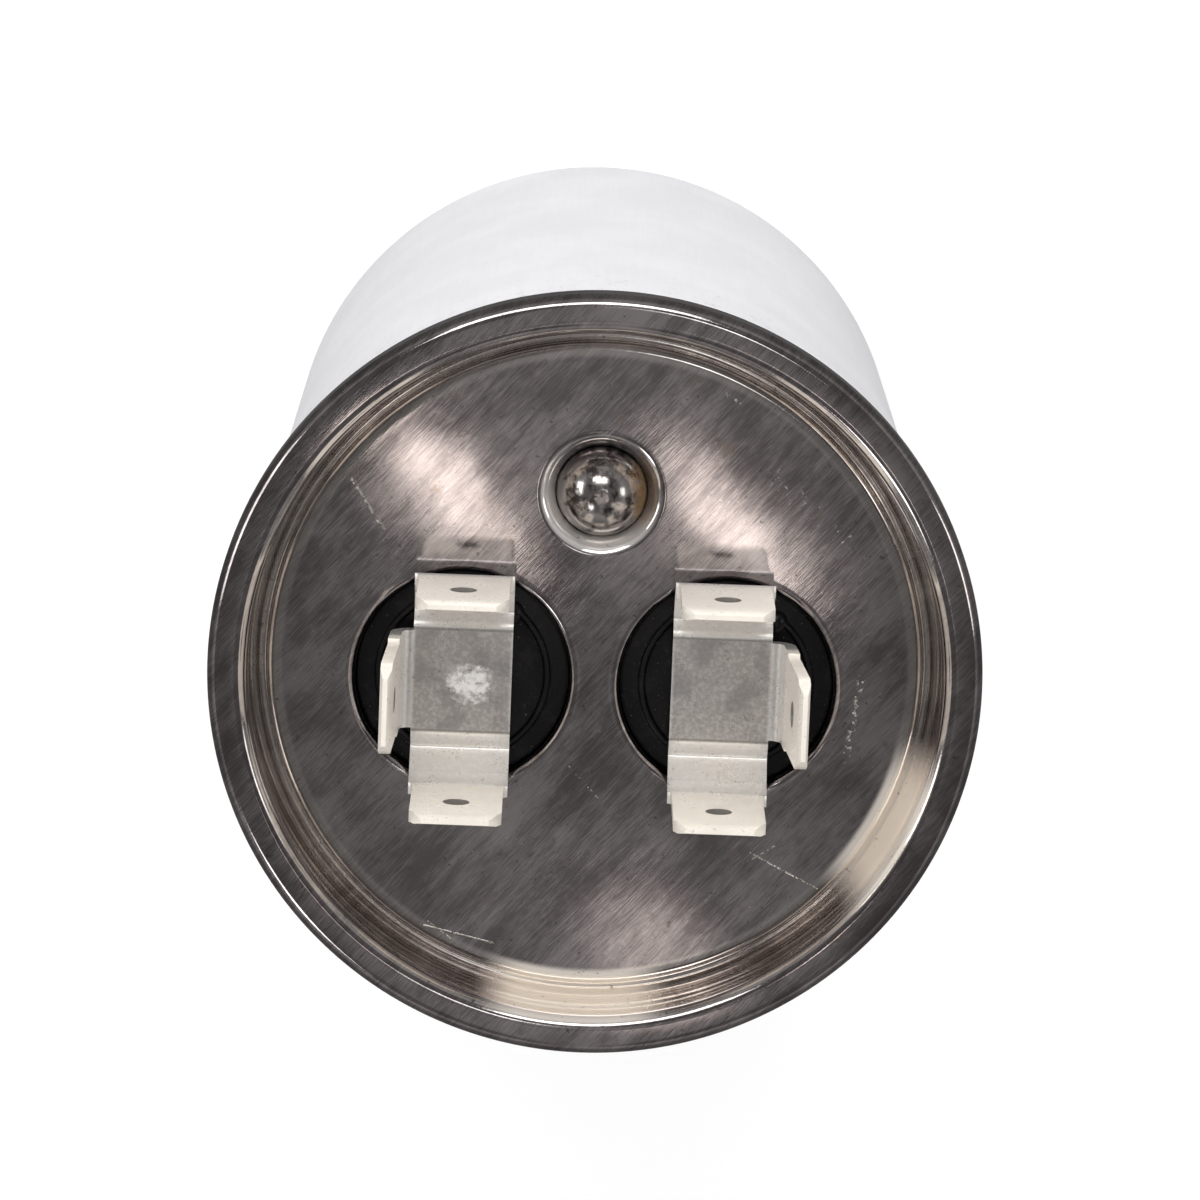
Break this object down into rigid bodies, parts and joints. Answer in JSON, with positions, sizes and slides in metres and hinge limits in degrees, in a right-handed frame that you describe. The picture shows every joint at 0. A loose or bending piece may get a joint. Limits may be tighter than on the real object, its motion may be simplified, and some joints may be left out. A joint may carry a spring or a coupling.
{
  "type": "motor run capacitor",
  "caption": "Round metal-cased motor run capacitor with a rolled lid seam, two insulated push-on terminals with three blades each, and a ball-closed fill hole.",
  "frame": {"origin": "centre of the can's flat base", "axes": "+Z along the can from the base to the lid; the two terminals stand left (-X) and right (+X); the fill ball lies toward +Y"},
  "size_m": [0.0536, 0.0536, 0.098],
  "materials": {
    "can_aluminium": "pale satin drawn aluminium",
    "lid_tinplate": "dark reflective tinplate with fine rolling grain",
    "sealing_compound": "cured seam compound",
    "ball_steel": "polished steel ball with residue",
    "terminal_tin": "tin-plated, speckled",
    "bush_phenolic": "glossy black moulding",
    "rivet_steel": "plated steel stud",
    "washer_steel": "plated steel",
    "lead_tin": "tinned copper strip",
    "film": "metallized film, silvery edge",
    "core_plastic": "natural polypropylene",
    "spray_metal": "rough sprayed zinc",
    "wrap_film": "clear amber insulating film",
    "white_plastic": "moulded insulating plastic"
  },
  "bodies": {
    "root": {"can": "can_aluminium", "lid": "lid_tinplate", "seam_gasket": "sealing_compound", "fill_ball": "ball_steel", "left_terminal": "terminal_tin", "right_terminal": "terminal_tin", "left_bush": "bush_phenolic", "right_bush": "bush_phenolic", "left_rivet": "rivet_steel", "right_rivet": "rivet_steel", "left_washer": "washer_steel", "right_washer": "washer_steel", "left_lead": "lead_tin", "right_lead": "lead_tin", "winding": "film", "core_tube": "core_plastic", "bottom_spray": "spray_metal", "top_spray": "spray_metal", "film_wrap": "wrap_film", "bottom_cup": "white_plastic", "top_spacer": "white_plastic"}
  },
  "joints": []
}
